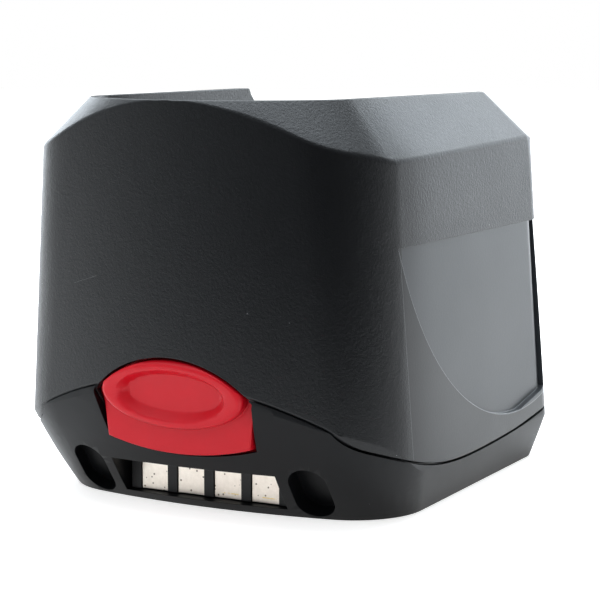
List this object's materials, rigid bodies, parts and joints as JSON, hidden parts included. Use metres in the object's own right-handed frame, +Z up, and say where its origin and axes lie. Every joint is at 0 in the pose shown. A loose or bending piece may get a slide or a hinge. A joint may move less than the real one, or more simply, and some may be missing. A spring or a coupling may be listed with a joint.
{
  "type": "power tool battery pack",
  "caption": "Slide-on battery pack for a cordless tool: drafted housing with a U-shaped rim, chamfered contact lid, sprung release button and cells inside.",
  "frame": {"origin": "centre of the footprint, on the face the pack rests on in the picture", "axes": "-Y to the nose with the button and the contacts, +Z up to the U-shaped rim, +X to the right seen from the nose"},
  "size_m": [0.078, 0.0915, 0.0751],
  "materials": {
    "housing_plastic": "black glass-filled nylon with a fine moulded grain",
    "lid_plastic": "black nylon, satin",
    "button_plastic": "red moulded plastic, half gloss",
    "spring_steel": "bright spring wire",
    "block_plastic": "black moulded plastic",
    "tinned_copper": "tin plated, lightly tarnished",
    "board_laminate": "green solder mask",
    "component_epoxy": "black epoxy",
    "screw_steel": "dark zinc plate",
    "insulating_card": "pale insulating card",
    "holder_plastic": "dark grey moulded plastic",
    "nickel": "plain nickel strip",
    "foam": "closed-cell foam",
    "cell_wrap": "blue shrink sleeve"
  },
  "bodies": {
    "pack": {"main_housing": "housing_plastic", "contact_lid": "lid_plastic", "button_spring_left": "spring_steel", "button_spring_right": "spring_steel", "terminal_block": "block_plastic", "terminal_positive": "tinned_copper", "terminal_sense": "tinned_copper", "terminal_code": "tinned_copper", "terminal_negative": "tinned_copper", "circuit_board": "board_laminate", "board_parts": "component_epoxy", "board_screws": "screw_steel", "thermistor": "component_epoxy", "insulating_rings": "insulating_card", "insulating_sheet_left": "insulating_card", "insulating_sheet_right": "insulating_card", "cell_holder_left": "holder_plastic", "cell_holder_right": "holder_plastic", "nickel_strips_left": "nickel", "nickel_strips_right": "nickel", "power_tab_positive": "nickel", "power_tab_negative": "nickel", "foam_pad": "foam", "lid_screws": "screw_steel", "cell_1": "cell_wrap", "cell_2": "cell_wrap", "cell_3": "cell_wrap", "cell_4": "cell_wrap", "cell_5": "cell_wrap", "cell_6": "cell_wrap"},
    "button": {"release_button": "button_plastic"}
  },
  "joints": [
    {"name": "button_press", "type": "slide", "parent": "pack", "child": "button", "axis": [0, 1, 0], "range_m": [0, 0.003], "stiffness_N_per_m": 900, "deforming": ["button_spring_left", "button_spring_right"]}
  ]
}
